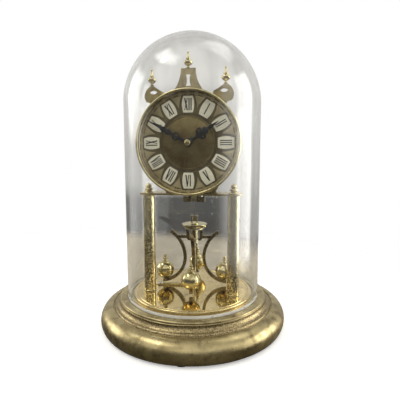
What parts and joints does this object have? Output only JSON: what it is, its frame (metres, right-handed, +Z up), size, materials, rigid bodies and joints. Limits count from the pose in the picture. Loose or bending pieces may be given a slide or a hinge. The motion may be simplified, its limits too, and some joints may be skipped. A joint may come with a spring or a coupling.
{
  "type": "anniversary clock",
  "caption": "Torsion-pendulum anniversary clock with a round dial on columns, ball pendulum, spun brass base and lift-off glass dome.",
  "frame": {"origin": "centre of the base at the level of the surface it stands on", "axes": "+Z up, the dial faces -Y, +X to the right of someone looking at the dial"},
  "size_m": [0.1934, 0.1934, 0.2955],
  "materials": {
    "aged_brass": "spun, lacquered, aged with pits and tarnish",
    "polished_brass": "polished",
    "embossed_brass": "embossed all over, toned",
    "movement_brass": "satin",
    "dull_brass": "dull, tarnished",
    "dial_bronze": "antiqued, engraved",
    "cartouche_cream": "enamelled",
    "black_hands": "gloss black",
    "bright_steel": "bright",
    "cover_steel": "matt",
    "dark_feet": "moulded",
    "dome_glass": "clear, blown"
  },
  "bodies": {
    "stand": {"base_shell": "aged_brass", "base_cover": "cover_steel", "base_plate": "polished_brass", "column_left": "embossed_brass", "column_right": "embossed_brass", "column_collars": "polished_brass", "tie_rods": "bright_steel", "tie_rod_nuts": "bright_steel", "platform": "movement_brass", "column_finials": "polished_brass", "front_plate": "movement_brass", "back_plate": "movement_brass", "movement_pillars": "movement_brass", "seat_blocks": "movement_brass", "movement_screws": "bright_steel", "dial_plate": "dial_bronze", "dial_posts": "movement_brass", "dial_centre": "dial_bronze", "hour_cartouches": "cartouche_cream", "bezel": "polished_brass", "crest": "dull_brass", "crest_finials": "polished_brass", "suspension_saddle": "movement_brass", "top_block": "movement_brass", "suspension_spring": "bright_steel", "suspension_guard": "movement_brass", "click_spring": "bright_steel", "pivot_screws": "bright_steel"},
    "dome": {"dome": "dome_glass"},
    "foot_front": {"foot_front": "dark_feet"},
    "foot_left": {"foot_left": "dark_feet"},
    "foot_right": {"foot_right": "dark_feet"},
    "lock_lever": {"lock_lever": "movement_brass"},
    "lock_cup": {"lock_cup": "movement_brass"},
    "fork": {"fork": "movement_brass"},
    "anchor": {"anchor": "bright_steel"},
    "pendulum": {"bottom_block": "movement_brass", "pendulum_hook": "polished_brass", "pendulum_hub": "dull_brass", "arm_brackets": "dull_brass", "pendulum_arms": "dull_brass", "pendulum_balls": "polished_brass", "ball_finials": "polished_brass"},
    "regulating_disc": {"regulating_disc": "polished_brass"},
    "barrel": {"barrel": "movement_brass", "mainspring": "bright_steel"},
    "winding_arbor": {"winding_arbor": "bright_steel", "ratchet_wheel": "bright_steel"},
    "click": {"click": "bright_steel"},
    "first_wheel": {"first_wheel": "movement_brass"},
    "second_wheel": {"second_wheel": "movement_brass"},
    "centre_arbor": {"centre_wheel": "movement_brass", "cannon_pinion": "bright_steel", "minute_hand": "black_hands", "hand_nut": "polished_brass"},
    "third_wheel": {"third_wheel": "movement_brass"},
    "escape_wheel": {"escape_wheel": "movement_brass"},
    "minute_wheel": {"minute_wheel": "movement_brass"},
    "hour_pipe": {"hour_wheel": "movement_brass", "hour_hand": "black_hands"}
  },
  "joints": [
    {"name": "dome_lift", "type": "slide", "parent": "stand", "child": "dome", "axis": [0, 0, 1], "range_m": [0, 0.26]},
    {"name": "foot_front_turn", "type": "hinge", "parent": "stand", "child": "foot_front", "pos_m": [0.00595, -0.08509, 0], "axis": [0, 0, 1], "range_deg": [-180, 180]},
    {"name": "foot_right_turn", "type": "hinge", "parent": "stand", "child": "foot_right", "pos_m": [0.07072, 0.0477, 0], "axis": [0, 0, 1], "range_deg": [-180, 180]},
    {"name": "foot_left_turn", "type": "hinge", "parent": "stand", "child": "foot_left", "pos_m": [-0.07667, 0.03739, 0], "axis": [0, 0, 1], "range_deg": [-180, 180]},
    {"name": "lock_lever_swing", "type": "hinge", "parent": "stand", "child": "lock_lever", "pos_m": [-0.038, 0.0022, 0.0346], "axis": [0, 0, 1], "range_deg": [0, 7]},
    {"name": "lock_cup_lift", "type": "slide", "parent": "stand", "child": "lock_cup", "axis": [0, 0, 1], "range_m": [0, 0.0018]},
    {"name": "pendulum_swing", "type": "hinge", "parent": "stand", "child": "pendulum", "pos_m": [0, 0.0102, 0.105], "axis": [0, 0, 1], "range_deg": [-150, 150]},
    {"name": "disc_turn", "type": "hinge", "parent": "pendulum", "child": "regulating_disc", "pos_m": [0, 0.0102, 0.102], "axis": [0, 0, 1], "range_deg": [-180, 180]},
    {"name": "fork_twist", "type": "hinge", "parent": "stand", "child": "fork", "pos_m": [0, 0.0102, 0.2265], "axis": [0, 0, 1], "range_deg": [-9.5, 9.5]},
    {"name": "anchor_rock", "type": "hinge", "parent": "stand", "child": "anchor", "pos_m": [0, 0, 0.2175], "axis": [0, 1, 0], "range_deg": [-3.5, 3.5]},
    {"name": "minute_arbor_turn", "type": "hinge", "parent": "stand", "child": "centre_arbor", "pos_m": [0, 0, 0.1876], "axis": [0, 1, 0], "continuous": true},
    {"name": "hour_pipe_turn", "type": "hinge", "parent": "stand", "child": "hour_pipe", "pos_m": [0, 0, 0.1876], "axis": [0, 1, 0], "continuous": true},
    {"name": "minute_wheel_turn", "type": "hinge", "parent": "stand", "child": "minute_wheel", "pos_m": [0, 0, 0.1756], "axis": [0, 1, 0], "continuous": true},
    {"name": "second_wheel_turn", "type": "hinge", "parent": "stand", "child": "second_wheel", "pos_m": [-0.01434, 0, 0.18373], "axis": [0, 1, 0], "continuous": true},
    {"name": "first_wheel_turn", "type": "hinge", "parent": "stand", "child": "first_wheel", "pos_m": [-0.00752, 0, 0.17054], "axis": [0, 1, 0], "continuous": true},
    {"name": "barrel_turn", "type": "hinge", "parent": "stand", "child": "barrel", "pos_m": [0.009, 0, 0.161], "axis": [0, 1, 0], "continuous": true},
    {"name": "third_wheel_turn", "type": "hinge", "parent": "stand", "child": "third_wheel", "pos_m": [0.00975, 0, 0.199], "axis": [0, 1, 0], "continuous": true},
    {"name": "escape_wheel_turn", "type": "hinge", "parent": "stand", "child": "escape_wheel", "pos_m": [0, 0, 0.206], "axis": [0, 1, 0], "continuous": true},
    {"name": "winding_turn", "type": "hinge", "parent": "stand", "child": "winding_arbor", "pos_m": [0.009, 0, 0.161], "axis": [0, 1, 0], "continuous": true},
    {"name": "click_lift", "type": "hinge", "parent": "stand", "child": "click", "pos_m": [0.016, 0, 0.1695], "axis": [0, 1, 0], "range_deg": [0, 10]}
  ],
  "couplings": [
    {"joint": "lock_cup_lift", "follows": "lock_lever_swing", "m_per_rad": 0.013096},
    {"joint": "fork_twist", "follows": "pendulum_swing", "ratio": 0.06},
    {"joint": "anchor_rock", "follows": "pendulum_swing", "ratio": 0.0208},
    {"joint": "hour_pipe_turn", "follows": "minute_arbor_turn", "ratio": 0.083333},
    {"joint": "minute_wheel_turn", "follows": "minute_arbor_turn", "ratio": -0.33333},
    {"joint": "second_wheel_turn", "follows": "minute_arbor_turn", "ratio": -0.125},
    {"joint": "first_wheel_turn", "follows": "minute_arbor_turn", "ratio": 0.015625},
    {"joint": "barrel_turn", "follows": "minute_arbor_turn", "ratio": -0.0016276},
    {"joint": "third_wheel_turn", "follows": "minute_arbor_turn", "ratio": -4},
    {"joint": "escape_wheel_turn", "follows": "minute_arbor_turn", "ratio": 12}
  ]
}
